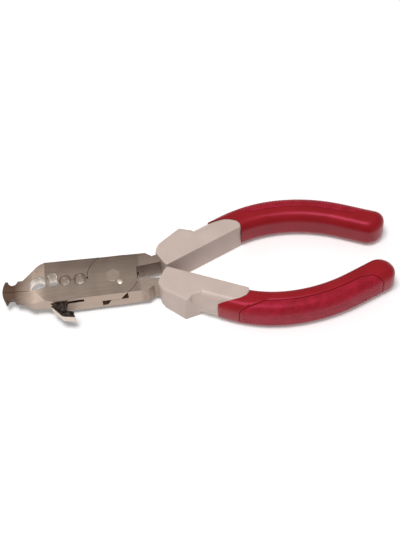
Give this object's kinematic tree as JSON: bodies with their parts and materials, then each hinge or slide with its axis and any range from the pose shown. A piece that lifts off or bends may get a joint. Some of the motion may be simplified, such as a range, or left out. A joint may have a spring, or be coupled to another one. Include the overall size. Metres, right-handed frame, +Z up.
{
  "type": "crimping pliers",
  "caption": "Hand pliers with hooked nose, crimping dies in the jaws, half-lap joint, finger guards and soft grips.",
  "frame": {"origin": "middle of the underside of the closed pliers lying flat on their side", "axes": "+X from the nose to the handle ends, +Y towards the upper handle, +Z up through the thickness of the tool"},
  "size_m": [0.1942, 0.068, 0.017],
  "materials": {
    "head_steel": "ground and satin-polished tool steel with a warm grey tone",
    "rivet_steel": "rivet head ground flush and satin like the head",
    "polished_steel": "bright polished pin ends",
    "blackened_steel": "black-oxide stamped steel, bright along the worn lip",
    "spring_steel": "blue-grey spring steel strip",
    "guard_plastic": "satin moulded hard plastic, warm light grey",
    "grip_rubber": "smooth soft overmoulding, deep red",
    "pad_rubber": "finely stippled soft inlay, red"
  },
  "bodies": {
    "front_lever": {"lower_jaw_lever": "head_steel", "pivot_rivet": "rivet_steel", "stop_pin": "polished_steel", "thumb_lever_pin": "polished_steel", "thumb_lever_spring": "spring_steel", "upper_handle_core": "guard_plastic", "upper_grip": "grip_rubber", "upper_grip_pad": "pad_rubber"},
    "rear_lever": {"upper_jaw_lever": "head_steel", "lower_handle_core": "guard_plastic", "lower_grip": "grip_rubber", "lower_grip_pad": "pad_rubber"},
    "thumb_lever": {"thumb_lever": "blackened_steel"}
  },
  "joints": [
    {"name": "jaw_pivot", "type": "hinge", "parent": "front_lever", "child": "rear_lever", "pos_m": [-0.04115, 0, 0.0085], "axis": [0, 0, -1], "range_deg": [0, 20]},
    {"name": "thumb_lever_pivot", "type": "hinge", "parent": "front_lever", "child": "thumb_lever", "pos_m": [-0.06855, -0.0083, 0.0085], "axis": [0, 0, 1], "range_deg": [0, 20], "stiffness_Nm_per_rad": 0.02, "springref_deg": -20.05}
  ]
}
